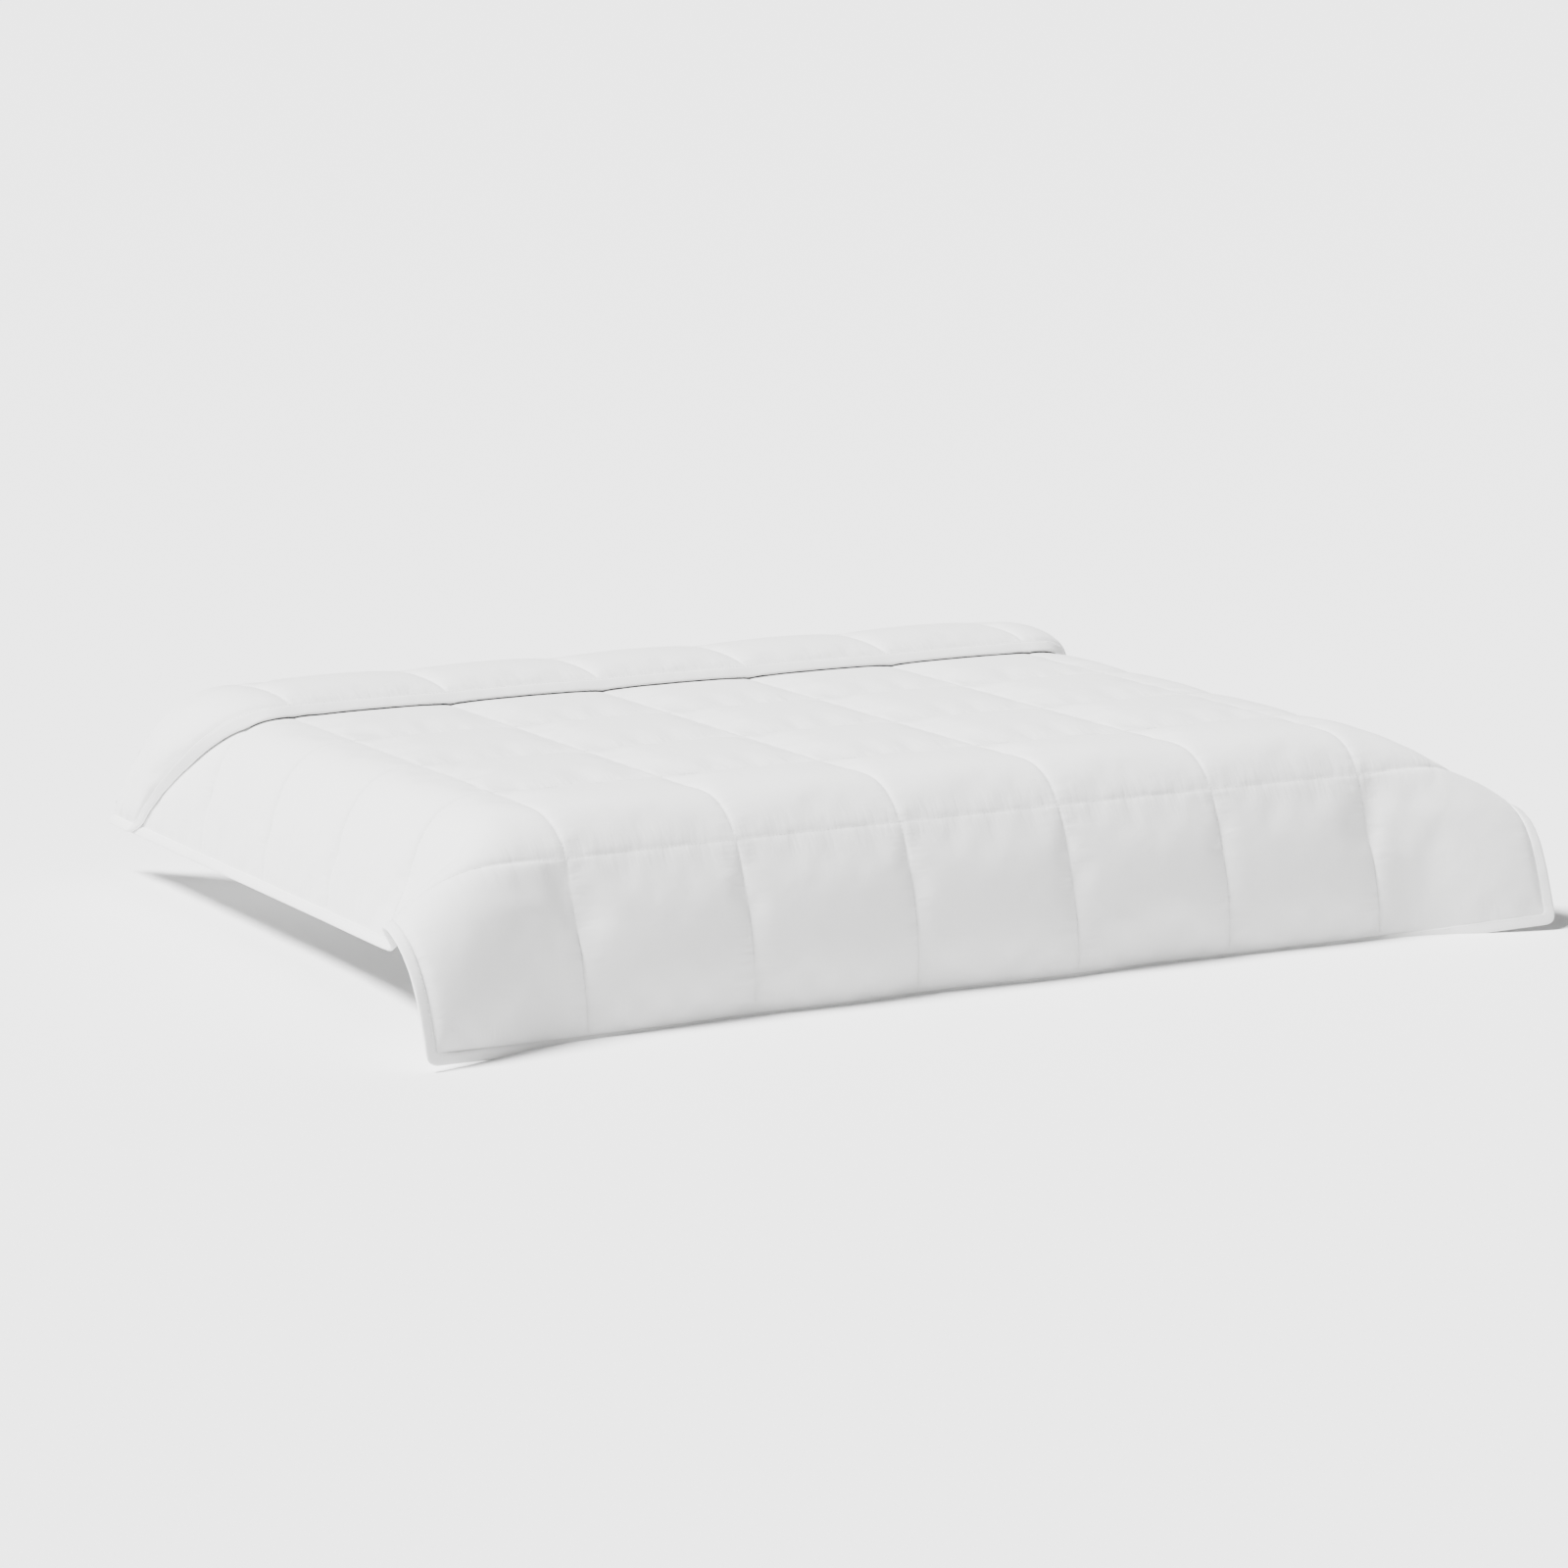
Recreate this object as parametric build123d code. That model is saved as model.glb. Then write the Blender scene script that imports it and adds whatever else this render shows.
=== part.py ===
"""Box-quilted duvet, draped over a 2 x 2 m mattress with its head end turned down.

The frame: origin on the mattress's top at its centre, +X to the right seen from the foot, +Y
towards the head, +Z up. The cloth has coordinates of its own: u across and v along, in
millimetres of duvet laid flat, equal to x and y where it lies on the mattress. A third one,
height, counts through its thickness from the side that faces the mattress. spot() turns the
three into a place, so that every piece is a plain brick in cloth coordinates.
"""
from build123d import *
import os
from math import cos, pi, radians, sin

# Bed that it lies on
bed_half_width = 1000.0
bed_half_length = 1015.0
side_radius = 90.0
foot_radius = 60.0
side_lean = 80.0
foot_lean = 85.0

# Duvet laid flat
columns = 7
rows = 7
box_width = 352.0
box_length = 320.0
flange_width = 25.0
seam_loft = 28.0
crown = 14.0

# Cloth, walls and the play between pieces
skin = 1.0
play = 0.6
wall = 0.8
pad_inset = 22.0

# Turned-down head end
fold_y = 517.0
fold_radius = 45.0
hem_fold_radius = 18.0
fold_slant = 0.85
fold_step = 36.0

# Ears at the two foot corners
ear_out = 190.0
ear_back = 130.0
ear_lift = 275.0

# Binding, stitching and label
tape = 0.8
thread_width = 0.8
thread_height = 0.5
thread_play = 0.2
stitch_inset = 3.0
label_width = 40.0
label_length = 50.0
label_thickness = 0.5
label_v = -260.0

# Seams, from left to right and from foot to head
mid_loft = seam_loft / 2
side_seams = [box_width * (i - (columns - 2) / 2) for i in range(columns - 1)]
fold_seam = fold_y + fold_radius * pi / 2
cross_seams = [fold_seam - box_length * (rows - 2 - k) for k in range(rows - 1)]
u_hem = side_seams[-1] + box_width
v_foot = cross_seams[0] - box_length
v_head = cross_seams[-1] + box_length
u_stops = [-u_hem, *side_seams, u_hem]
v_stops = [v_foot, *cross_seams, v_head]
flange_loft = 2 * skin + play
side_flat = bed_half_width - side_radius
foot_flat = bed_half_length - foot_radius
side_turn = (side_radius + mid_loft) * radians(side_lean)
foot_turn = (foot_radius + mid_loft) * radians(foot_lean)
step = 0.01
level_tolerance = 1e-6
same_line = 1e-3


def over_edge(run, radius, lean):
    """How far out and down cloth reaches that runs this far past the start of a rounded edge."""
    if run <= 0:
        return run, 0.0
    turn = min(run / (radius + mid_loft), radians(lean))
    rest = run - turn * (radius + mid_loft)
    return radius * sin(turn) + rest * cos(turn), radius * (1 - cos(turn)) + rest * sin(turn)


side_drop_full = over_edge(u_hem + flange_width - side_flat, side_radius, side_lean)[1]
foot_drop_full = over_edge(-v_foot + flange_width - foot_flat, foot_radius, foot_lean)[1]


def drape(u, v):
    """Where the mattress side of the duvet lies, before any of it is turned down."""
    side = 1 if u >= 0 else -1
    out, side_drop = over_edge(abs(u) - side_flat, side_radius, side_lean)
    back, foot_drop = over_edge(-v - foot_flat, foot_radius, foot_lean)
    ear = (side_drop / side_drop_full) * (foot_drop / foot_drop_full)
    x = side * (side_flat + out + ear_out * ear)
    y = -(foot_flat + back + ear_back * ear)
    return Vector(x, y, ear_lift * ear - side_drop - foot_drop)


def surface(u, v):
    """A place on drape() with its outward normal and the direction in which v grows."""
    along_u = drape(u + step, v) - drape(u - step, v)
    along_v = drape(u, v + step) - drape(u, v - step)
    return drape(u, v), along_u.cross(along_v).normalized(), along_v.normalized()


def hem_share(u):
    """0 inside the outermost lengthwise seams, growing to 1 at the side hems."""
    return min(max((abs(u) - side_seams[-1]) / box_width, 0.0), 1.0)


def spot(u, v, height):
    """The place of a point of the duvet, given in cloth coordinates."""
    drop = over_edge(abs(u) - side_flat, side_radius, side_lean)[1]
    fold_v = fold_y + fold_slant * drop
    if v <= fold_v:
        place, normal, _ = surface(u, v)
        return place + normal * height
    share = hem_share(u)
    radius = fold_radius + (hem_fold_radius - fold_radius) * share * share
    turned = (v - fold_v) / radius
    if turned <= pi:
        place, normal, ahead = surface(u, fold_v)
        place += ahead * (radius * sin(turned)) + normal * (radius - radius * cos(turned))
        return place + (normal * cos(turned) - ahead * sin(turned)) * height
    place, normal, _ = surface(u, fold_v - (v - fold_v - pi * radius))
    return place + normal * (2 * radius - height)


def within(value, stops):
    """How far from the last stop to the next a value lies, and how full the filling is there."""
    if value <= stops[0] or value >= stops[-1]:
        return 0.0, 0.0
    gap = max(i for i in range(len(stops) - 1) if stops[i] <= value)
    share = (value - stops[gap]) / (stops[gap + 1] - stops[gap])
    to_hem = {0: share, len(stops) - 2: 1 - share}.get(gap, 1.0)
    return share, to_hem * (2 - to_hem)


def loft(u, v):
    """The duvet's thickness: puffed inside each box, tied down at seams, flat at the hems."""
    across, full_across = within(u, u_stops)
    along, full_along = within(v, v_stops)
    puff = 16 * across * (1 - across) * along * (1 - along)
    return flange_loft + (seam_loft - flange_loft) * full_across * full_along + crown * puff


def under_skin(u, v):
    """The height just over the bottom panel."""
    return skin + play


def over_skin(u, v):
    """The height just under the top panel."""
    return loft(u, v) - skin - play


def control(values):
    """Bezier control points of the cubic that passes through four evenly spaced ones."""
    a, b, c, d = values
    return [a, (b * 18 - a * 5 - c * 9 + d * 2) / 6, (a * 2 - b * 9 + c * 18 - d * 5) / 6, d]


def patch(place):
    """A face through place(s, t), with s and t from 0 to 1: plane where it is level, else curved."""
    grid = [[place(s / 3, t / 3) for t in range(4)] for s in range(4)]
    if all(abs(point.Z - grid[0][0].Z) < level_tolerance for line in grid for point in line):
        return Face(Wire.make_polygon([grid[0][0], grid[3][0], grid[3][3], grid[0][3]]))
    columns_of_points = zip(*[control(line) for line in grid])
    return Face.make_bezier_surface([list(line) for line in zip(*map(control, columns_of_points))])


def between(a, b, share):
    return a + (b - a) * share


def level_patch(u, v, height):
    """A face of a brick that follows the mattress side, at a height given by height(u, v)."""
    def place(s, t):
        across = between(*u, s)
        along = between(*v, t)
        return spot(across, along, height(across, along))
    return patch(place)


def side_patch(start, end, low, high):
    """A face of a brick through its thickness, over the line from start to end in (u, v)."""
    def place(s, t):
        across = between(start[0], end[0], s)
        along = between(start[1], end[1], s)
        return spot(across, along, between(low(across, along), high(across, along), t))
    return patch(place)


def cuts(low, high, stops):
    """Both ends and the stops between them, in pairs."""
    marks = [low, *[s for s in stops if low + same_line < s < high - same_line], high]
    return list(zip(marks, marks[1:]))


def brick(u_low, u_high, v_low, v_high, low, high):
    """A closed solid from u_low to u_high and v_low to v_high, between two heights."""
    us = cuts(u_low, u_high, u_marks)
    vs = cuts(v_low, v_high, v_marks)
    faces = [level_patch(u, v, height) for u in us for v in vs for height in (low, high)]
    for edge in (u_low, u_high):
        faces += [side_patch((edge, v[0]), (edge, v[1]), low, high) for v in vs]
    for edge in (v_low, v_high):
        faces += [side_patch((u[0], edge), (u[1], edge), low, high) for u in us]
    return Solid(Shell(faces))


def ring(section):
    """A closed band round the duvet. Its section is a list of (way out from the hem seam, height)."""
    across = [u for u in u_marks if abs(u) < u_hem - same_line]
    along = [v for v in v_marks if v_foot + same_line < v < v_head - same_line]
    faces = []
    for (out_a, height_a), (out_b, height_b) in zip(section, section[1:] + section[:1]):
        for side in (-1, 1):
            for k in range(len(across) + 1):
                def place(s, t):
                    out = between(out_a, out_b, t)
                    marks = [-u_hem - out, *across, u_hem + out]
                    v = v_foot - out if side < 0 else v_head + out
                    return spot(between(marks[k], marks[k + 1], s), v, between(height_a, height_b, t))
                faces.append(patch(place))
            for k in range(len(along) + 1):
                def place(s, t):
                    out = between(out_a, out_b, t)
                    marks = [v_foot - out, *along, v_head + out]
                    u = side * (u_hem + out)
                    return spot(u, between(marks[k], marks[k + 1], s), between(height_a, height_b, t))
                faces.append(patch(place))
    return Solid(Shell(faces))


def rectangle(out, height, width, thickness):
    """A ring's section: a flat strip."""
    return [(out, height), (out + width, height), (out + width, height + thickness), (out, height + thickness)]


# Where patches end: at seams and hems, and often enough round the bends
side_marks = [side_flat + side_turn * k / 2 for k in range(3)]
u_marks = sorted([*u_stops, *side_marks, *[-u for u in side_marks]])
v_marks = sorted([
    *v_stops,
    *[-foot_flat - foot_turn * k / 2 for k in range(3)],
    *[fold_y + fold_step * k for k in range(9)],
])
half_gap = wall / 2 + play
u_spans = [(a + half_gap, b - half_gap) for a, b in zip(u_stops, u_stops[1:])]
u_spans[0] = (-u_hem + pad_inset, u_spans[0][1])
u_spans[-1] = (u_spans[-1][0], u_hem - pad_inset)
v_spans = [(a + half_gap, b - half_gap) for a, b in zip(v_stops, v_stops[1:])]
v_spans[0] = (v_foot + pad_inset, v_spans[0][1])
v_spans[-1] = (v_spans[-1][0], v_head - pad_inset)


def fills():
    """One pad of filling for each box, by row from the foot and by column from the left."""
    return {
        f"fill_r{row + 1}_c{column + 1}": brick(*u_span, *v_span, under_skin, over_skin)
        for row, v_span in enumerate(v_spans)
        for column, u_span in enumerate(u_spans)
    }


def panel(low, high):
    """A shell panel, which runs out to the edge of the flange."""
    u_edge = u_hem + flange_width
    return brick(-u_edge, u_edge, v_foot - flange_width, v_head + flange_width, low, high)


def top_shell():
    return panel(lambda u, v: loft(u, v) - skin, loft)


def bottom_shell():
    return panel(lambda u, v: 0.0, lambda u, v: skin)


def lengthwise_baffles():
    """The long walls between the columns of boxes."""
    ends = (v_spans[0][0], v_spans[-1][1])
    return [brick(u - wall / 2, u + wall / 2, *ends, under_skin, over_skin) for u in side_seams]


def crosswise_baffles():
    """The short walls between the rows, each fitted between two long ones."""
    return [
        brick(*u_span, v - wall / 2, v + wall / 2, under_skin, over_skin)
        for v in cross_seams
        for u_span in u_spans
    ]


def edge_binding():
    """The tape folded round the flange: a channel, open towards the boxes."""
    inner = flange_width + play
    outer = inner + tape
    top = flange_loft + play
    return ring([
        (0.0, -play - tape), (outer, -play - tape), (outer, top + tape), (0.0, top + tape),
        (0.0, top), (inner, top), (inner, -play), (0.0, -play),
    ])


def binding_stitching():
    """The needle thread and the bobbin thread, which hold the tape along its inner edge."""
    rise = play + tape + thread_play
    heights = (flange_loft + rise, -rise - thread_height)
    return [ring(rectangle(stitch_inset, height, thread_width, thread_height)) for height in heights]


def quilting_thread():
    """The thread along every seam between boxes, on the outer face of the top shell."""
    def low(u, v):
        return loft(u, v) + thread_play

    def high(u, v):
        return loft(u, v) + thread_play + thread_height

    half = thread_width / 2
    ends = (v_foot + stitch_inset, v_head - stitch_inset)
    lengthwise = [brick(u - half, u + half, *ends, low, high) for u in side_seams]
    crosswise = [brick(*u_span, v - half, v + half, low, high) for v in cross_seams for u_span in u_spans]
    return lengthwise + crosswise


def care_label():
    """A blank label that hangs from the right side hem."""
    start = u_hem + flange_width + 2 * play + tape
    return brick(
        start, start + label_length, label_v, label_v + label_width,
        lambda u, v: 0.0, lambda u, v: label_thickness,
    )


pieces = {
    **fills(),
    "top_shell": top_shell(),
    "bottom_shell": bottom_shell(),
    "lengthwise_baffles": Compound(children=lengthwise_baffles()),
    "crosswise_baffles": Compound(children=crosswise_baffles()),
    "edge_binding": edge_binding(),
    "binding_stitching": Compound(children=binding_stitching()),
    "quilting_thread": Compound(children=quilting_thread()),
    "care_label": care_label(),
}

os.makedirs("parts", exist_ok=True)
for name, shape in pieces.items():
    export_step(shape, f"parts/{name}.step")
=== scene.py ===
from math import cos, pi, radians, sin
import bmesh
import bpy
import numpy as np
from mathutils import Matrix, Vector
from mathutils.bvhtree import BVHTree


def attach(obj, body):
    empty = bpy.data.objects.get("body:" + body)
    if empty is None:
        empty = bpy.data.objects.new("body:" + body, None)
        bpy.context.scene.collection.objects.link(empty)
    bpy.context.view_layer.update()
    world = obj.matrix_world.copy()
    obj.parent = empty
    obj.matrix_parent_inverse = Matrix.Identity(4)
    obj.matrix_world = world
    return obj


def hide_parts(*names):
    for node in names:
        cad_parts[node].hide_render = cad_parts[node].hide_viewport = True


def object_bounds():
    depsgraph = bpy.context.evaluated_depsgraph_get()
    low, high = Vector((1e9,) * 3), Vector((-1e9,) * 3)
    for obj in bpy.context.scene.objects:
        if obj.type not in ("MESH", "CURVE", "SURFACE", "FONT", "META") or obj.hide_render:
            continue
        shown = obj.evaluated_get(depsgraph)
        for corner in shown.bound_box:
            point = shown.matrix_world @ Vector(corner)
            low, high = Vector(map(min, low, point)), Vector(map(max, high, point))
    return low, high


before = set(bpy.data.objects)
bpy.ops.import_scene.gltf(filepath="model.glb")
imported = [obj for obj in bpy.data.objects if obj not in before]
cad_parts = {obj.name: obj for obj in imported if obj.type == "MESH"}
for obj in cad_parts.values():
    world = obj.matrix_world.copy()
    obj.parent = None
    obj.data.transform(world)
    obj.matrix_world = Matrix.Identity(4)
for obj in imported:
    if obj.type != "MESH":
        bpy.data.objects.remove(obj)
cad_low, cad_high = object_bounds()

scene = bpy.context.scene

# ---- Studio ---------------------------------------------------------------------------------
# A pale floor just under the lowest hem, one broad soft light from high on the left, as from a
# tall window, and a dim plain surround.
floor_size = 300
floor_gap = 0.004
floor_mesh = bmesh.new()
bmesh.ops.create_grid(floor_mesh, x_segments=1, y_segments=1, size=floor_size)
bmesh.ops.translate(floor_mesh, verts=floor_mesh.verts, vec=(0, 0, cad_low.z - floor_gap))
floor_data = bpy.data.meshes.new("floor")
floor_mesh.to_mesh(floor_data)
floor_mesh.free()
floor = bpy.data.objects.new("floor", floor_data)
scene.collection.objects.link(floor)
floor_paint = bpy.data.materials.new("floor_paint")
floor_paint.use_nodes = True
floor_shader = floor_paint.node_tree.nodes["Principled BSDF"]
floor_shader.inputs["Base Color"].default_value = (0.95, 0.95, 0.95, 1)
floor_shader.inputs["Roughness"].default_value = 0.9
floor.data.materials.append(floor_paint)

surround = bpy.data.worlds.new("surround")
scene.world = surround
surround.use_nodes = True
surround.node_tree.nodes["Background"].inputs["Color"].default_value = (1, 1, 1, 1)
surround.node_tree.nodes["Background"].inputs["Strength"].default_value = 0.30

light_direction = Vector((0.50, -0.16, -0.85))
window_data = bpy.data.lights.new("window_light", "SUN")
window_data.energy = 14.0
window_data.angle = radians(20)
window_light = bpy.data.objects.new("window_light", window_data)
window_light.rotation_euler = light_direction.to_track_quat("-Z", "Y").to_euler()
scene.collection.objects.link(window_light)

eye = Vector((-4.63, -8.646, 1.67))
turn_to_right = radians(28.95)
look_down = radians(10.45)
camera_data = bpy.data.cameras.new("camera")
camera_data.sensor_width = 36
camera_data.lens = 109.3
camera_data.shift_x = -0.00375
camera = bpy.data.objects.new("camera", camera_data)
camera.location = eye
ahead = Vector((
    sin(turn_to_right) * cos(look_down),
    cos(turn_to_right) * cos(look_down),
    -sin(look_down),
))
camera.rotation_euler = ahead.to_track_quat("-Z", "Y").to_euler()
scene.collection.objects.link(camera)
scene.camera = camera

# ---- Drape ----------------------------------------------------------------------------------
# The duvet as one limp sheet, its middle layer, dropped over a mattress and a bed frame. Only
# the shape that it takes is kept: every piece below is laid out on it. Cloth coordinates are u,
# across, and v, along, in metres of duvet laid flat, and agree with x and y on the mattress.
box_width = 0.352
box_length = 0.320
flange = 0.025
boxes_each_way = 7
lie = 0.0265
fold_seam = 0.565
side_seams = [box_width * (i + 1 - boxes_each_way / 2) for i in range(boxes_each_way - 1)]
cross_seams = [fold_seam - box_length * (boxes_each_way - 2 - k) for k in range(boxes_each_way - 1)]
u_edge = side_seams[-1] + box_width + flange
v_foot = cross_seams[0] - box_length - flange
v_head = cross_seams[-1] + box_length + flange
drape_end = 0.84
drape_cell = 0.044
drape_frames = 75
held_half_width = 0.78
held_from = -0.8
across_count = round(2 * u_edge / drape_cell)
along_count = round((drape_end - v_foot) / drape_cell)


def link(name, mesh):
    data = bpy.data.meshes.new(name)
    mesh.to_mesh(data)
    mesh.free()
    thing = bpy.data.objects.new(name, data)
    scene.collection.objects.link(thing)
    return thing


def bed_block(name, low, high, corner, edge):
    """A rounded block that the sheet falls on: its upright edges first, then all of them."""
    block = bmesh.new()
    bmesh.ops.create_cube(block, size=1)
    bmesh.ops.scale(block, verts=block.verts, vec=Vector(high) - Vector(low))
    bmesh.ops.translate(block, verts=block.verts, vec=(Vector(high) + Vector(low)) / 2)
    upright = [e for e in block.edges if abs(e.verts[0].co.z - e.verts[1].co.z) > 0.01]
    rounded = {"profile": 0.5, "affect": "EDGES", "material": -1}
    bmesh.ops.bevel(block, geom=upright, offset=corner, segments=8, **rounded)
    rims = [e for e in block.edges if e.calc_face_angle(0) > 1]
    bmesh.ops.bevel(block, geom=rims, offset=edge, segments=6, **rounded)
    thing = link(name, block)
    thing.modifiers.new("stop", "COLLISION")
    thing.collision.thickness_outer = 0.004
    thing.collision.cloth_friction = 10
    thing.collision.damping = 0.5
    return thing


def settle(thing, frames):
    """Runs a piece's cloth simulation and returns where its points end up."""
    for number in range(1, frames + 1):
        scene.frame_set(number)
    shape = thing.evaluated_get(bpy.context.evaluated_depsgraph_get()).to_mesh()
    places = np.zeros(len(shape.vertices) * 3)
    shape.vertices.foreach_get("co", places)
    scene.frame_set(1)
    return places.reshape(-1, 3)


mattress = bed_block("mattress", (-1.0, -1.0, -0.4), (1.0, 1.1, 0.0), 0.14, 0.09)
bed_frame = bed_block("bed_frame", (-1.05, -1.05, -0.42), (1.05, 1.15, -0.19), 0.12, 0.03)
sheet = bmesh.new()
bmesh.ops.create_grid(sheet, x_segments=across_count, y_segments=along_count, size=0.5)
bmesh.ops.scale(sheet, verts=sheet.verts, vec=(2 * u_edge, drape_end - v_foot, 1))
bmesh.ops.translate(sheet, verts=sheet.verts, vec=(0, (drape_end + v_foot) / 2, lie))
sheet = link("sheet", sheet)
held = sheet.vertex_groups.new(name="held")
on_top = [p.index for p in sheet.data.vertices if abs(p.co.x) < held_half_width and p.co.y > held_from]
held.add(on_top, 1.0, "REPLACE")
limp = sheet.modifiers.new("limp", "CLOTH")
limp.settings.quality = 8
limp.settings.mass = 0.25
limp.settings.tension_stiffness = 60
limp.settings.compression_stiffness = 60
limp.settings.shear_stiffness = 20
limp.settings.bending_stiffness = 14
limp.settings.tension_damping = 8
limp.settings.compression_damping = 8
limp.settings.shear_damping = 8
limp.settings.bending_damping = 1
limp.settings.air_damping = 0.4
limp.settings.vertex_group_mass = "held"
limp.collision_settings.distance_min = 0.022
limp.collision_settings.collision_quality = 3
limp.collision_settings.friction = 10
limp.point_cache.frame_end = drape_frames
draped = settle(sheet, drape_frames).reshape(along_count + 1, across_count + 1, 3)
for thing in (sheet, mattress, bed_frame):
    bpy.data.objects.remove(thing)

# ---- Cloth coordinates ----------------------------------------------------------------------
# Where a point of the duvet is, from u, v and its height over the middle layer. The head end
# turns back over itself along a line that slants towards the head down the two sides.
fold_start = 0.524
fold_slant = 0.8
fold_height = 0.028
side_thinning = 0.8
band_lift_share = 0.1
room_reach = 0.09
layer_gap = 0.003
flap_take_up = 0.88
seam_thickness = 0.022
puff = 0.020
puff_flatness = 0.42
flange_thickness = 0.0026
hem_steepness = 9
hem_groove = 0.004
flap_lift = 0.022


def through_four(t):
    """Weights of a smooth curve through four neighbours, at t from the second to the third."""
    return (
        (-t + 2 * t**2 - t**3) / 2,
        (2 - 5 * t**2 + 3 * t**3) / 2,
        (t + 4 * t**2 - 3 * t**3) / 2,
        (-t**2 + t**3) / 2,
    )


def on_drape(u, v):
    across = np.clip((u + u_edge) / (2 * u_edge), 0, 1) * across_count
    along = np.clip((v - v_foot) / (drape_end - v_foot), 0, 1) * along_count
    i = np.minimum(across.astype(int), across_count - 1)
    j = np.minimum(along.astype(int), along_count - 1)
    place = np.zeros(np.shape(u) + (3,))
    for a, weight_a in enumerate(through_four(across - i)):
        for b, weight_b in enumerate(through_four(along - j)):
            column = np.clip(i + a - 1, 0, across_count)
            row = np.clip(j + b - 1, 0, along_count)
            place += (weight_a * weight_b)[..., None] * draped[row, column]
    return place


def unit(vectors):
    return vectors / np.linalg.norm(vectors, axis=-1, keepdims=True)


def with_normal(u, v):
    """A place on the drape, its outward normal, and the direction in which v grows."""
    step = 0.012
    right = on_drape(u + step, v) - on_drape(u - step, v)
    headward = on_drape(u, v + step) - on_drape(u, v - step)
    return on_drape(u, v), unit(np.cross(right, headward)), unit(headward)


def in_box(value, seams):
    """How far across its box a point lies, from 0 to 1, and how full the filling is there."""
    stops = [seams[0] - (seams[1] - seams[0]), *seams, seams[-1] + (seams[1] - seams[0])]
    inside = np.clip(value, stops[0], stops[-1])
    box = np.clip(np.searchsorted(stops, inside, side="right") - 1, 0, len(stops) - 2)
    share = (inside - stops[0]) / (stops[1] - stops[0]) - box
    to_hem = (np.minimum(inside - stops[0], stops[-1] - inside) - hem_groove) / (stops[1] - stops[0])
    return share, 1 - (1 - np.clip(to_hem, 0, 1)) ** hem_steepness


def thickness(u, v):
    across, full_across = in_box(u, side_seams)
    along, full_along = in_box(v, cross_seams)
    body = (seam_thickness - flange_thickness) * full_across * full_along
    mound = np.clip(16 * across * (1 - across) * along * (1 - along), 0, 1) ** puff_flatness
    return flange_thickness + body + puff * mound


def spot(u, v, height):
    """The place of cloth coordinates u and v, at that height over the duvet's middle layer."""
    u, v, height = (np.asarray(a, float) for a in np.broadcast_arrays(u, v, height))
    drop = np.clip(lie - on_drape(u, np.full_like(u, fold_start))[..., 2], 0, None)
    fold = fold_start + fold_slant * drop
    past = np.clip(v - fold, 0, None)
    body = 1 - side_thinning * np.clip((np.abs(u) - side_seams[-1]) / box_width, 0, 1) ** 2
    roll = fold_height * body
    turn = np.clip(past / (roll / 2), 0, pi)
    run = np.clip(past - pi * roll / 2, 0, None) * flap_take_up
    under = np.where(past > 0, fold - run, v)
    place, normal, headward = with_normal(u, under)
    to_edge = np.clip((v_head - v) / flange, 0, 1)
    lift = flap_lift * body * (band_lift_share + (1 - band_lift_share) * to_edge)
    above = thickness(u, under) / 2 + lift + layer_gap
    above = above + (roll - above) * np.exp(-((run / room_reach) ** 2))
    place = place + headward * (above / 2 * np.sin(turn))[..., None]
    place = place + normal * (above / 2 * (1 - np.cos(turn)))[..., None]
    out = normal * np.cos(turn)[..., None] - headward * np.sin(turn)[..., None]
    return place + out * height[..., None]


# ---- Cotton ---------------------------------------------------------------------------------
def new_group(name, inputs, outputs):
    group = bpy.data.node_groups.new(name, "ShaderNodeTree")
    for label, kind, value in inputs:
        socket = group.interface.new_socket(label, in_out="INPUT", socket_type=kind)
        if value is not None:
            socket.default_value = value
    for label, kind in outputs:
        group.interface.new_socket(label, in_out="OUTPUT", socket_type=kind)
    return group, group.nodes.new("NodeGroupInput"), group.nodes.new("NodeGroupOutput")


def math_node(tree, operation, a, b=None):
    node = tree.nodes.new("ShaderNodeMath")
    node.operation = operation
    for socket, value in zip(node.inputs, (a, b)):
        if value is None:
            continue
        if isinstance(value, (int, float)):
            socket.default_value = value
        else:
            tree.links.new(value, socket)
    return node.outputs[0]


def noise(tree, place, scale, detail=3.0, roughness=0.55):
    node = tree.nodes.new("ShaderNodeTexNoise")
    node.inputs["Scale"].default_value = scale
    node.inputs["Detail"].default_value = detail
    node.inputs["Roughness"].default_value = roughness
    tree.links.new(place, node.inputs["Vector"])
    return node.outputs["Fac"]


weave, weave_in, weave_out = new_group(
    "plain_weave",
    [("Cloth", "NodeSocketVector", None), ("Threads per metre", "NodeSocketFloat", 1700.0)],
    [("Height", "NodeSocketFloat"), ("Slub", "NodeSocketFloat")],
)
split = weave.nodes.new("ShaderNodeSeparateXYZ")
weave.links.new(weave_in.outputs["Cloth"], split.inputs[0])
turns = math_node(weave, "MULTIPLY", weave_in.outputs["Threads per metre"], pi)
warp = math_node(weave, "SINE", math_node(weave, "MULTIPLY", split.outputs["X"], turns))
weft = math_node(weave, "SINE", math_node(weave, "MULTIPLY", split.outputs["Y"], turns))
crossing = math_node(weave, "MULTIPLY", warp, weft)
weave.links.new(math_node(weave, "ABSOLUTE", crossing), weave_out.inputs["Height"])
slub = weave.nodes.new("ShaderNodeMapping")
slub.inputs["Scale"].default_value = (900, 40, 1)
weave.links.new(weave_in.outputs["Cloth"], slub.inputs["Vector"])
weave.links.new(noise(weave, slub.outputs[0], 1.0), weave_out.inputs["Slub"])


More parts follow.
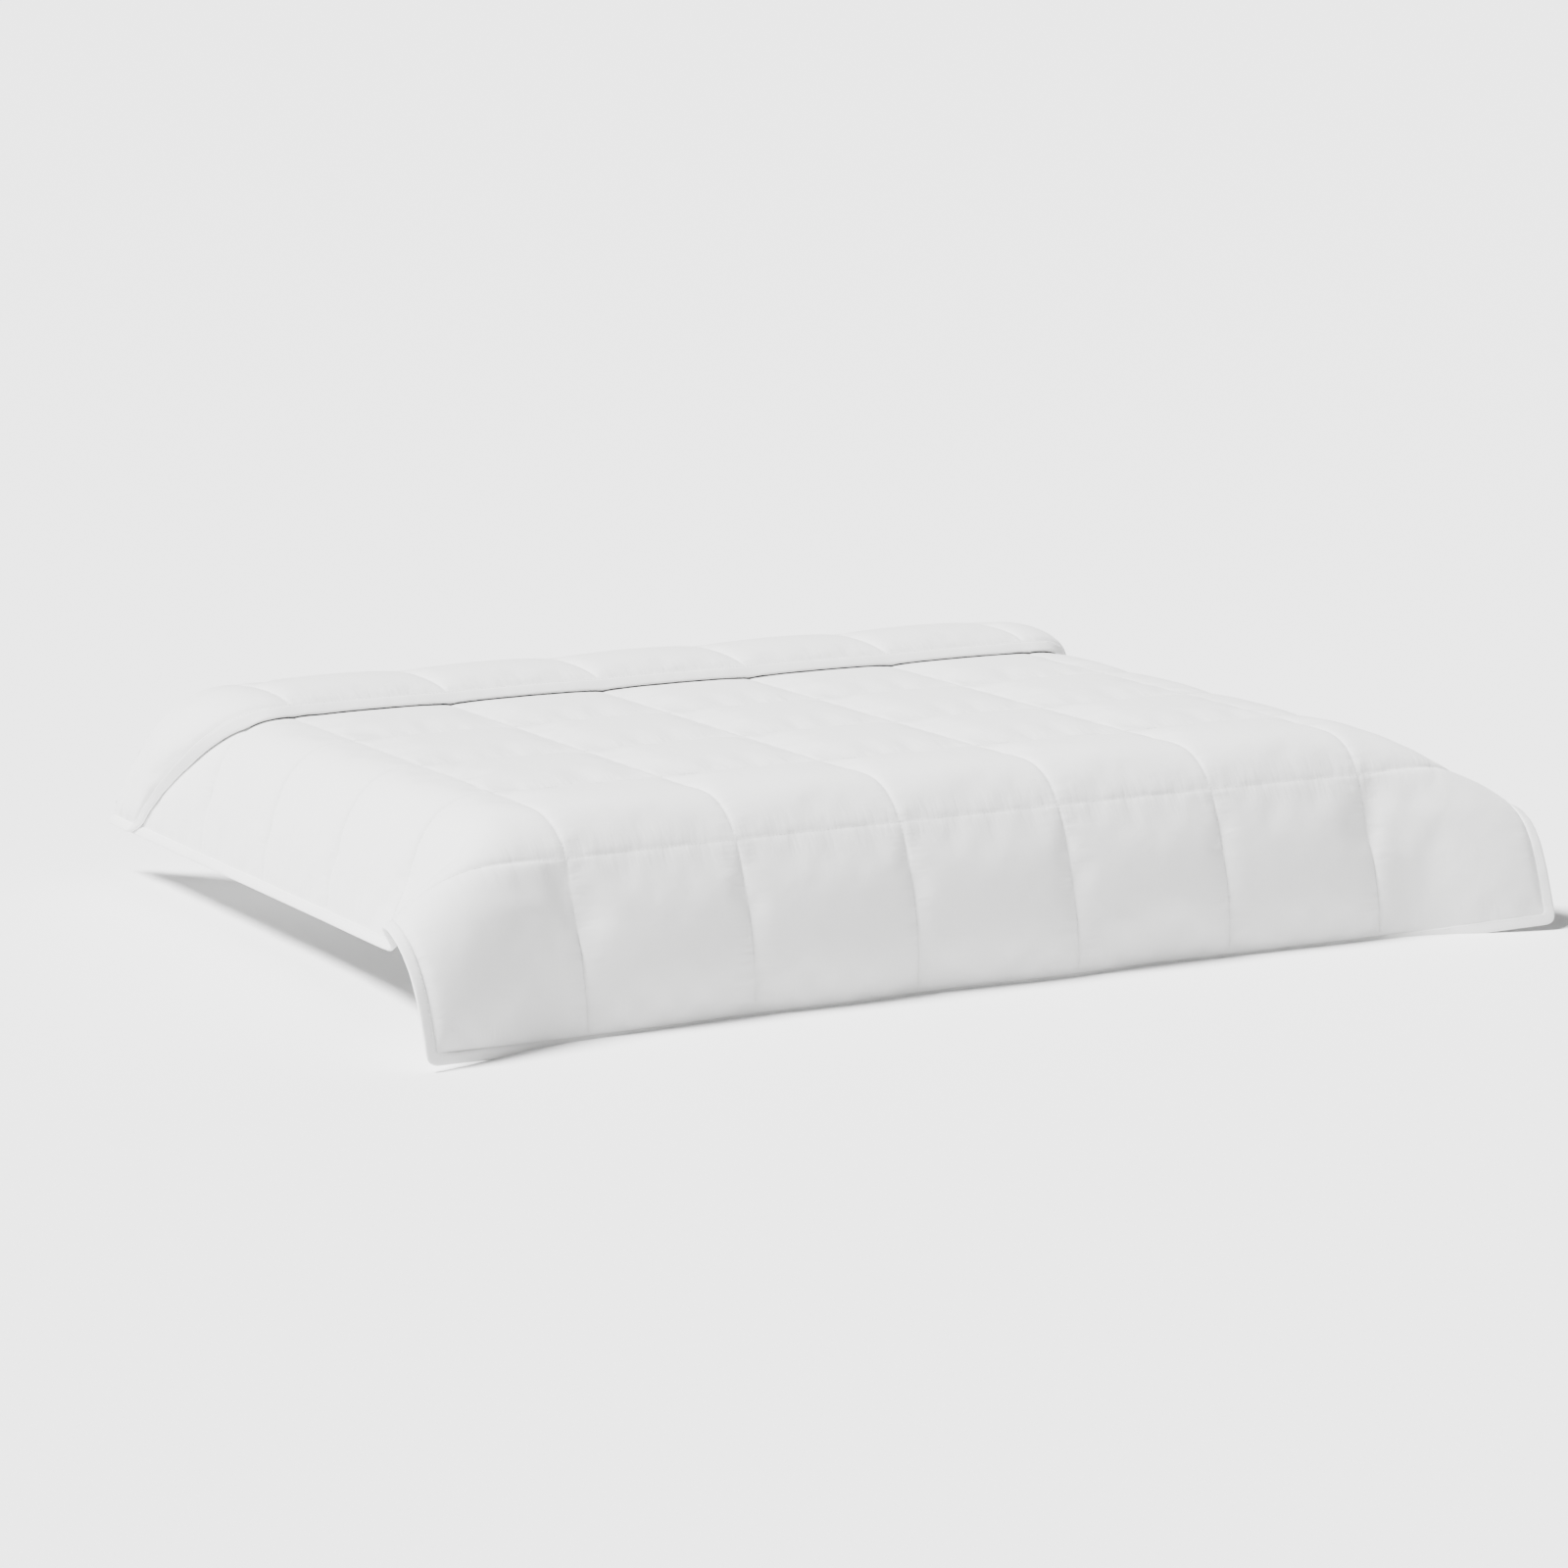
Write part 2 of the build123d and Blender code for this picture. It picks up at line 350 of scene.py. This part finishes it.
gather_reach = 0.20
puckers, puckers_in, puckers_out = new_group(
    "seam_puckers",
    [("Cloth", "NodeSocketVector", None)],
    [("Height", "NodeSocketFloat")],
)
across_along = puckers.nodes.new("ShaderNodeSeparateXYZ")
puckers.links.new(puckers_in.outputs["Cloth"], across_along.inputs[0])
boxes_across = math_node(puckers, "DIVIDE", across_along.outputs["X"], box_width)
part_across = math_node(puckers, "FRACT", boxes_across)
from_long_seam = math_node(puckers, "ABSOLUTE", math_node(puckers, "SUBTRACT", part_across, 0.5))
along_from_fold = math_node(puckers, "SUBTRACT", across_along.outputs["Y"], fold_seam - box_length / 2)
part_along = math_node(puckers, "FRACT", math_node(puckers, "DIVIDE", along_from_fold, box_length))
from_short_seam = math_node(puckers, "ABSOLUTE", math_node(puckers, "SUBTRACT", part_along, 0.5))


def gathers(away, stretch):
    """Small folds that leave a seam at right angles and die out a few centimetres from it."""
    near = puckers.nodes.new("ShaderNodeMapRange")
    near.interpolation_type = "SMOOTHSTEP"
    near.inputs["From Max"].default_value = gather_reach
    near.inputs["To Min"].default_value = 1.0
    near.inputs["To Max"].default_value = 0.0
    puckers.links.new(away, near.inputs["Value"])
    stretched = puckers.nodes.new("ShaderNodeMapping")
    stretched.inputs["Scale"].default_value = stretch
    puckers.links.new(puckers_in.outputs["Cloth"], stretched.inputs["Vector"])
    folds = noise(puckers, stretched.outputs[0], 1.0, 2.0)
    return math_node(puckers, "MULTIPLY", near.outputs["Result"], folds)


beside_long_seams = gathers(from_long_seam, (9, 42, 1))
beside_short_seams = gathers(from_short_seam, (42, 9, 1))
both_ways = math_node(puckers, "ADD", beside_long_seams, beside_short_seams)
puckers.links.new(both_ways, puckers_out.inputs["Height"])


def cotton(name, colour, roughness, sheen, crumple, threads=1700.0, weave_height=0.00004):
    """Matt white cotton: a plain weave, soft creases, and a faint unevenness in its white.

    Returns the material and its crease node, which the shell cotton's seam gathers feed.
    """
    material = bpy.data.materials.new(name)
    material.use_nodes = True
    tree = material.node_tree
    shader = tree.nodes["Principled BSDF"]
    shader.inputs["Roughness"].default_value = roughness
    shader.inputs["Sheen Weight"].default_value = sheen
    shader.inputs["Sheen Roughness"].default_value = 0.45
    shader.inputs["Specular IOR Level"].default_value = 0.25
    laid_flat = tree.nodes.new("ShaderNodeUVMap")
    laid_flat.uv_map = "laid_flat"
    cloth = laid_flat.outputs[0]
    woven = tree.nodes.new("ShaderNodeGroup")
    woven.node_tree = weave
    woven.inputs["Threads per metre"].default_value = threads
    tree.links.new(cloth, woven.inputs["Cloth"])
    mix = tree.nodes.new("ShaderNodeMix")
    mix.data_type = "RGBA"
    mix.inputs["A"].default_value = (*[c * 0.965 for c in colour], 1)
    mix.inputs["B"].default_value = (*colour, 1)
    cloudy = noise(tree, cloth, 9.0)
    shade = math_node(tree, "ADD", math_node(tree, "MULTIPLY", cloudy, 0.7),
                      math_node(tree, "MULTIPLY", woven.outputs["Slub"], 0.5))
    tree.links.new(shade, mix.inputs["Factor"])
    tree.links.new(mix.outputs["Result"], shader.inputs["Base Color"])
    creases = tree.nodes.new("ShaderNodeBump")
    creases.inputs["Distance"].default_value = crumple
    creases.inputs["Strength"].default_value = 1.0
    tree.links.new(noise(tree, cloth, 28.0, 4.0, 0.5), creases.inputs["Height"])
    threads_up = tree.nodes.new("ShaderNodeBump")
    threads_up.inputs["Distance"].default_value = weave_height
    tree.links.new(woven.outputs["Height"], threads_up.inputs["Height"])
    tree.links.new(creases.outputs[0], threads_up.inputs["Normal"])
    tree.links.new(threads_up.outputs[0], shader.inputs["Normal"])
    return material, creases


# ---- Shell panels ---------------------------------------------------------------------------
# Two panels of down-proof cotton percale, cut to 2.6 x 2.4 m, which close on each other along a
# flat flange. They are sewn through at the box seams, and the filling puffs them between.
cells_per_box = 18
corner_round = 0.032
flange_cells = 2
hem_margin = 0.001
seam_margin = 0.002
probe = 0.01
beside_hem = 0.010
beside_seam = 0.0055
seam_crease = 0.6
most_inward = 0.003
ease_from_flap = 0.07
fill_frames = 14


def grid_lines(first, last, stops, seams):
    """Rows of a grid: even within each box, closer beside seams, with two rows in the flange."""
    cells = cells_per_box * boxes_each_way
    inner = [stops[0] + (stops[-1] - stops[0]) * k / cells for k in range(cells + 1)]
    beside = [seam + away for seam in seams for away in (-beside_seam, beside_seam)]
    inner = sorted(inner + beside + [stops[0] + beside_hem, stops[-1] - beside_hem])
    near = [first + (stops[0] - first) * k / flange_cells for k in range(flange_cells)]
    far = [stops[-1] + (last - stops[-1]) * (k + 1) / flange_cells for k in range(flange_cells)]
    return np.array(near + inner + far)


u_lines = grid_lines(-u_edge, u_edge, [-u_edge + flange, u_edge - flange], side_seams)
v_lines = grid_lines(v_foot, v_head, [v_foot + flange, v_head - flange], cross_seams)


def round_corners(u, v, radius=corner_round):
    """Draws the square grid in to the duvet's rounded corners."""
    in_u = np.clip((np.abs(u) - (u_edge - radius)) / radius, 0, 1)
    middle = (v_foot + v_head) / 2
    half = (v_head - v_foot) / 2
    in_v = np.clip((np.abs(v - middle) - (half - radius)) / radius, 0, 1)
    reach = np.hypot(in_u, in_v)
    pull = np.where(reach > 0, np.maximum(in_u, in_v) / np.maximum(reach, 1e-9), 1)
    round_u = np.where(in_u > 0, u_edge - radius + radius * in_u * pull, np.abs(u))
    round_v = np.where(in_v > 0, half - radius + radius * in_v * pull, np.abs(v - middle))
    return np.sign(u) * round_u, middle + np.sign(v - middle) * round_v


grid_u, grid_v = np.meshgrid(u_lines, v_lines)
grid_u, grid_v = round_corners(grid_u, grid_v)


def lay_flat_map(thing, u, v):
    """A UV map in metres of duvet laid flat, so that weave and seams follow the cloth."""
    layer = thing.data.uv_layers.new(name="laid_flat")
    corner = np.zeros(len(thing.data.loops), int)
    thing.data.loops.foreach_get("vertex_index", corner)
    flat = np.stack([u.ravel()[corner], v.ravel()[corner]], axis=1)
    layer.data.foreach_set("uv", flat.ravel().astype(np.float32))


def set_places(thing, places):
    thing.data.vertices.foreach_set("co", places.reshape(-1).astype(np.float32))
    thing.data.update()


def smooth(thing):
    thing.data.polygons.foreach_set("use_smooth", np.ones(len(thing.data.polygons), bool))


def on_seam(value, seams):
    return np.min(np.abs(np.asarray(value)[..., None] - np.array(seams)), axis=-1) < seam_margin


sewn = on_seam(grid_u, side_seams) | on_seam(grid_v, cross_seams)
sewn_strip = flange + hem_margin
sewn |= np.abs(grid_u) > u_edge - sewn_strip
sewn |= (grid_v < v_foot + sewn_strip) | (grid_v > v_head - sewn_strip)


def panel(name, side, slack, push, most):
    """One shell panel, side 1 the outer one and -1 the one on the mattress, filled out by most.

    The filling pushes it out between its seams, except where the turned-down end lies on it.
    """
    mesh = bmesh.new()
    bmesh.ops.create_grid(mesh, x_segments=len(u_lines) - 1, y_segments=len(v_lines) - 1, size=1)
    if side < 0:
        bmesh.ops.reverse_faces(mesh, faces=mesh.faces)
    piece = link(name, mesh)
    start = spot(grid_u, grid_v, side * thickness(grid_u, grid_v) / 2)
    set_places(piece, start)
    tied = piece.vertex_groups.new(name="sewn")
    tied.add(np.nonzero(sewn.ravel())[0].tolist(), 1.0, "REPLACE")
    filled = piece.modifiers.new("filled", "CLOTH")
    filled.settings.quality = 4
    filled.settings.mass = 0.15
    filled.settings.tension_stiffness = 15
    filled.settings.compression_stiffness = 15
    filled.settings.shear_stiffness = 5
    filled.settings.bending_stiffness = 1.5
    filled.settings.air_damping = 2
    filled.settings.vertex_group_mass = "sewn"
    filled.settings.shrink_min = -slack
    filled.settings.use_pressure = True
    filled.settings.uniform_pressure_force = push
    filled.settings.effector_weights.gravity = 0
    filled.collision_settings.use_collision = False
    filled.point_cache.frame_end = fill_frames
    moved = settle(piece, fill_frames).reshape(start.shape) - start
    piece.modifiers.remove(filled)
    piece.vertex_groups.remove(tied)
    length = np.linalg.norm(moved, axis=-1, keepdims=True)
    moved *= np.minimum(1, most / np.maximum(length, 1e-9))
    outward = side * unit(spot(grid_u, grid_v, probe) - spot(grid_u, grid_v, 0.0))
    inward = np.minimum(np.sum(moved * outward, axis=-1, keepdims=True) + most_inward, 0)
    moved -= inward * outward
    drop = np.clip(lie - on_drape(grid_u, np.full_like(grid_u, fold_start))[..., 2], 0, None)
    fold = fold_start + fold_slant * drop
    flap_end = fold - (v_head - fold - pi * fold_height / 2) * flap_take_up
    free = np.where(grid_v > fold, 1, np.clip((flap_end - grid_v) / ease_from_flap, 0, 1))
    set_places(piece, start + moved * free[..., None])
    lay_flat_map(piece, grid_u, grid_v)
    creased = bmesh.new()
    creased.from_mesh(piece.data)
    crease = creased.edges.layers.float.new("crease_edge")
    stitched = sewn.ravel()
    for edge in creased.edges:
        if stitched[edge.verts[0].index] and stitched[edge.verts[1].index]:
            edge[crease] = seam_crease
    creased.to_mesh(piece.data)
    creased.free()
    smooth(piece)
    return piece


percale, percale_creases = cotton("percale", (0.84, 0.84, 0.835), 0.85, 0.25, 0.0011)
percale_tree = percale.node_tree
gathered = percale_tree.nodes.new("ShaderNodeGroup")
gathered.node_tree = puckers
percale_tree.links.new(percale_tree.nodes["UV Map"].outputs[0], gathered.inputs["Cloth"])
seam_gathers = percale_tree.nodes.new("ShaderNodeBump")
seam_gathers.inputs["Distance"].default_value = 0.0032
percale_tree.links.new(gathered.outputs["Height"], seam_gathers.inputs["Height"])
percale_tree.links.new(seam_gathers.outputs[0], percale_creases.inputs["Normal"])
top_shell = panel("top_cloth", 1, 0.010, 0.5, 0.009)
bottom_shell = panel("bottom_cloth", -1, 0.008, 0.4, 0.003)
for piece in (top_shell, bottom_shell):
    piece.data.materials.append(percale)
    finer = piece.modifiers.new("finer", "SUBSURF")
    finer.levels = finer.render_levels = 1
    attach(piece, "root")
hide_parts("top_shell")
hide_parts("bottom_shell")

# ---- Filling --------------------------------------------------------------------------------
# One pad of loose filling in each box, as the box holds it: domed over and under, thin towards
# the seams, and a little smaller than its box.
fluff = bpy.data.materials.new("fluff")
fluff.use_nodes = True
fluff_tree = fluff.node_tree
fluff_shader = fluff_tree.nodes["Principled BSDF"]
fluff_shader.inputs["Roughness"].default_value = 1.0
fluff_shader.inputs["Sheen Weight"].default_value = 0.6
fluff_place = fluff_tree.nodes.new("ShaderNodeTexCoord").outputs["Object"]
tufts = noise(fluff_tree, fluff_place, 120.0, 6.0, 0.7)
fluff_colour = fluff_tree.nodes.new("ShaderNodeMix")
fluff_colour.data_type = "RGBA"
fluff_colour.inputs["A"].default_value = (0.80, 0.78, 0.73, 1)
fluff_colour.inputs["B"].default_value = (0.93, 0.92, 0.89, 1)
fluff_tree.links.new(tufts, fluff_colour.inputs["Factor"])
fluff_tree.links.new(fluff_colour.outputs["Result"], fluff_shader.inputs["Base Color"])
fluff_bump = fluff_tree.nodes.new("ShaderNodeBump")
fluff_bump.inputs["Distance"].default_value = 0.003
fluff_tree.links.new(tufts, fluff_bump.inputs["Height"])
fluff_tree.links.new(fluff_bump.outputs[0], fluff_shader.inputs["Normal"])

pad_cuts = 7
pad_clearance = 0.003
pad_share = 0.6
hem_clearance = 0.022


def spans(first, stops, last):
    """The free stretch between each pair of seams."""
    ends = [first + hem_clearance - pad_clearance, *stops, last - hem_clearance + pad_clearance]
    return [(a + pad_clearance, b - pad_clearance) for a, b in zip(ends, ends[1:])]


u_spans = spans(-u_edge + flange, side_seams, u_edge - flange)
v_spans = spans(v_foot + flange, cross_seams, v_head - flange)
for row, (v_low, v_high) in enumerate(v_spans):
    for column, (u_low, u_high) in enumerate(u_spans):
        node = f"fill_r{row + 1}_c{column + 1}"
        block = bmesh.new()
        bmesh.ops.create_cube(block, size=2)
        bmesh.ops.subdivide_edges(block, edges=block.edges, cuts=pad_cuts, use_grid_fill=True)
        pad = link(node + "_fluff", block)
        unit_place = np.array([p.co[:] for p in pad.data.vertices])
        pad_u = u_low + (u_high - u_low) * (unit_place[:, 0] + 1) / 2
        pad_v = v_low + (v_high - v_low) * (unit_place[:, 1] + 1) / 2
        height = unit_place[:, 2] * thickness(pad_u, pad_v) * pad_share / 2
        set_places(pad, spot(pad_u, pad_v, height))
        smooth(pad)
        pad.data.materials.append(fluff)
        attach(pad, "root")
        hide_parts(node)

# ---- Baffles --------------------------------------------------------------------------------
# Thin cotton walls that stand between the panels along every seam and keep the filling in its
# box: long ones between the columns, and short ones between them.
baffle_cotton, _ = cotton("baffle_cotton", (0.82, 0.82, 0.79), 0.9, 0.15, 0.001, threads=1400.0)
baffle_steps = 16
baffle_margin = 0.0012


def walls(name, node, lines):
    """Strips stood on end between the panels; lines holds the two ends of each in (u, v)."""
    mesh = bmesh.new()
    for _ in lines:
        bmesh.ops.create_grid(mesh, x_segments=baffle_steps, y_segments=2, size=1)
    piece = link(name, mesh)
    unit_place = np.array([p.co[:] for p in piece.data.vertices]).reshape(len(lines), -1, 3)
    ends = np.array(lines)
    share = (unit_place[..., 0] + 1) / 2
    wall_u = ends[:, 0, 0, None] * (1 - share) + ends[:, 1, 0, None] * share
    wall_v = ends[:, 0, 1, None] * (1 - share) + ends[:, 1, 1, None] * share
    height = unit_place[..., 1] * (thickness(wall_u, wall_v) / 2 - baffle_margin)
    set_places(piece, spot(wall_u, wall_v, height))
    lay_flat_map(piece, wall_u + wall_v, unit_place[..., 1] * seam_thickness / 2)
    smooth(piece)
    piece.data.materials.append(baffle_cotton)
    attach(piece, "root")
    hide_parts(node)


long_walls = [((u, a), (u, b)) for u in side_seams for a, b in v_spans]
short_walls = [((a, v), (b, v)) for v in cross_seams for a, b in u_spans]
walls("long_baffles", "lengthwise_baffles", long_walls)
walls("short_baffles", "crosswise_baffles", short_walls)

# ---- Binding --------------------------------------------------------------------------------
# A cotton tape folded over the flange all round, mitred soft at the corners, and sewn through
# close to its inner edge. The stitching draws it up into fine puckers.
binding_cotton, _ = cotton("binding_cotton", (0.87, 0.87, 0.865), 0.8, 0.2, 0.0012, threads=1300.0)
hem_round = 0.007
corner_steps = 6
rim_step = 0.011
pucker_depth = 0.0007
profile = [
    (0.0005, 0.0012), (0.0012, 0.0026), (0.008, 0.0031), (0.016, 0.0030),
    (0.0225, 0.0027), (0.0255, 0.0018), (0.0264, 0.0),
]
profile = profile + [(out, -height) for out, height in reversed(profile[:-1])]


def rim(out):
    """A line all round the duvet, that far out from the hem seam, with rounded corners."""
    half_u = u_edge - flange - hem_round
    half_v = (v_head - v_foot) / 2 - flange - hem_round
    middle = (v_head + v_foot) / 2
    line = []
    for quarter in range(4):
        middle_angle = pi / 4 + quarter * pi / 2
        corner_u = half_u * np.sign(cos(middle_angle))
        corner_v = half_v * np.sign(sin(middle_angle))
        for k in range(corner_steps + 1):
            angle = (quarter + k / corner_steps) * pi / 2
            reach = hem_round + out
            line.append((corner_u + reach * cos(angle), middle + corner_v + reach * sin(angle)))
        next_angle = middle_angle + pi / 2
        length = 2 * (half_u if quarter % 2 == 0 else half_v)
        steps = round(length / rim_step)
        away_u = half_u * np.sign(cos(next_angle)) - corner_u
        away_v = half_v * np.sign(sin(next_angle)) - corner_v
        last_u, last_v = line[-1]
        line += [(last_u + away_u * k / steps, last_v + away_v * k / steps) for k in range(1, steps)]
    return np.array(line)


rims = np.array([rim(out) for out, _ in profile])
around = rims.shape[1]
heights = np.array([height for _, height in profile])
pucker = np.sin(np.arange(around) * 2.4) * 0.5 + np.sin(np.arange(around) * 1.37 + 1.0) * 0.5
bulge = np.sin(np.linspace(0, pi, len(profile)) * 2)[:, None] * pucker[None, :] * pucker_depth
tape = bmesh.new()
bmesh.ops.create_grid(tape, x_segments=around, y_segments=len(profile) - 1, size=1)
edge_binding = link("binding_tape", tape)
closed_u = np.concatenate([rims[..., 0], rims[:, :1, 0]], axis=1)
closed_v = np.concatenate([rims[..., 1], rims[:, :1, 1]], axis=1)
closed_height = np.concatenate([heights[:, None] + bulge, heights[:, None] + bulge[:, :1]], axis=1)
set_places(edge_binding, spot(closed_u, closed_v, closed_height))
lay_flat_map(edge_binding, closed_u, closed_v)
sewn_up = bmesh.new()
sewn_up.from_mesh(edge_binding.data)
bmesh.ops.remove_doubles(sewn_up, verts=sewn_up.verts, dist=0.00005)
bmesh.ops.recalc_face_normals(sewn_up, faces=sewn_up.faces)
sewn_up.to_mesh(edge_binding.data)
sewn_up.free()
smooth(edge_binding)
edge_binding.data.materials.append(binding_cotton)
doubled = edge_binding.modifiers.new("doubled", "SOLIDIFY")
doubled.thickness = 0.0005
doubled.offset = -1
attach(edge_binding, "root")
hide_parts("edge_binding")

# ---- Stitching ------------------------------------------------------------------------------
# White cotton thread: one line through the tape all round, and one along every seam between the
# boxes, on both faces of the duvet. Each stitch is a short spindle that lies on the cloth.
thread = bpy.data.materials.new("thread")
thread.use_nodes = True
thread_tree = thread.node_tree
thread_shader = thread_tree.nodes["Principled BSDF"]
thread_shader.inputs["Roughness"].default_value = 0.6
thread_shader.inputs["Sheen Weight"].default_value = 0.2
twist = thread_tree.nodes.new("ShaderNodeMix")
twist.data_type = "RGBA"
twist.inputs["A"].default_value = (0.72, 0.72, 0.70, 1)
twist.inputs["B"].default_value = (0.88, 0.88, 0.87, 1)
thread_place = thread_tree.nodes.new("ShaderNodeTexCoord").outputs["Object"]
thread_tree.links.new(noise(thread_tree, thread_place, 900.0), twist.inputs["Factor"])
thread_tree.links.new(twist.outputs["Result"], thread_shader.inputs["Base Color"])
stitch_every = 0.0085
stitch_length = 0.0060
stitch_radius = 0.00045
tape_stitch_in = 0.0035


def stitches(mesh, line, side, cloths):
    """A row of stitches along points in (u, v), laid on whichever cloth is nearest."""
    places = spot(line[:, 0], line[:, 1], side * (thickness(line[:, 0], line[:, 1]) / 2 + 0.002))
    lengths = np.concatenate([[0], np.cumsum(np.linalg.norm(np.diff(places, axis=0), axis=1))])
    count = max(int(lengths[-1] / stitch_every), 1)
    middles = (np.arange(count) + 0.5) * lengths[-1] / count
    at = [np.interp([middles, middles + 0.002], lengths, places[:, axis]) for axis in range(3)]
    for here, there in zip(np.stack([a[0] for a in at], 1), np.stack([a[1] for a in at], 1)):
        on_cloth, normal, _, _ = cloths.find_nearest(Vector(here))
        along = (Vector(there) - Vector(here)).normalized()
        lift = on_cloth + normal * stitch_radius * 0.5
        sideways = normal.cross(along).normalized()
        lie_along = Matrix((
            (along.x * stitch_length / 2, sideways.x * stitch_radius, normal.x * stitch_radius, lift.x),
            (along.y * stitch_length / 2, sideways.y * stitch_radius, normal.y * stitch_radius, lift.y),
            (along.z * stitch_length / 2, sideways.z * stitch_radius, normal.z * stitch_radius, lift.z),
            (0, 0, 0, 1),
        ))
        bmesh.ops.create_icosphere(mesh, subdivisions=1, radius=1, matrix=lie_along)


def surface_of(*things):
    """A search tree over the finished surfaces of some pieces."""
    ready = bpy.context.evaluated_depsgraph_get()
    whole = bmesh.new()
    for thing in things:
        shape = thing.evaluated_get(ready).to_mesh()
        whole.from_mesh(shape)
    tree = BVHTree.FromBMesh(whole)
    whole.free()
    return tree


def finish_thread(name, mesh, node):
    piece = link(name, mesh)
    smooth(piece)
    piece.data.materials.append(thread)
    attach(piece, "root")
    if node:
        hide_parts(node)
    return piece


bpy.context.view_layer.update()
tape_cloth = surface_of(edge_binding)
tape_line = rim(tape_stitch_in)
tape_line = np.concatenate([tape_line, tape_line[:1]])
tape_thread = bmesh.new()
for side in (1, -1):
    stitches(tape_thread, tape_line, side, tape_cloth)
finish_thread("binding_stitches", tape_thread, "binding_stitching")
seam_points = 90
seam_stop = flange + 0.004
quilted_faces = (
    (1, top_shell, "quilting_stitches"),
    (-1, bottom_shell, "quilting_stitches_under"),
)
for side, cloth_piece, name in quilted_faces:
    cloth_tree = surface_of(cloth_piece)
    rows_of_thread = bmesh.new()
    for u in side_seams:
        v_line = np.linspace(v_foot + seam_stop, v_head - seam_stop, seam_points)
        stitches(rows_of_thread, np.stack([np.full(seam_points, u), v_line], 1), side, cloth_tree)
    for v in cross_seams:
        u_line = np.linspace(-u_edge + seam_stop, u_edge - seam_stop, seam_points)
        stitches(rows_of_thread, np.stack([u_line, np.full(seam_points, v)], 1), side, cloth_tree)
    finish_thread(name, rows_of_thread, "quilting_thread" if side > 0 else None)

# ---- Care label -----------------------------------------------------------------------------
# A blank satin tab, caught in the seam under the tape on the right side hem, hanging down.
label_paint, _ = cotton("label_satin", (0.9, 0.9, 0.9), 0.45, 0.1, 0.0004, threads=2500.0)
label_mesh = bmesh.new()
bmesh.ops.create_grid(label_mesh, x_segments=8, y_segments=8, size=1)
care_label = link("label", label_mesh)
label_unit = np.array([p.co[:] for p in care_label.data.vertices])
label_top = spot(np.array([u_edge]), np.array([-0.24]), 0.0)[0]
label_places = np.stack([
    label_top[0] + 0.003 * np.sin(label_unit[:, 1] * 1.5 + 1.5) * 0.6,
    label_top[1] + 0.020 * label_unit[:, 0],
    label_top[2] - 0.024 + 0.026 * label_unit[:, 1],
], axis=1)
set_places(care_label, label_places)
lay_flat_map(care_label, label_unit[:, 0] * 0.02, label_unit[:, 1] * 0.025)
smooth(care_label)
care_label.data.materials.append(label_paint)
label_body = care_label.modifiers.new("label_body", "SOLIDIFY")
label_body.thickness = 0.0004
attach(care_label, "root")
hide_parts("care_label")

# ---- Hand-over ------------------------------------------------------------------------------
bpy.context.view_layer.update()
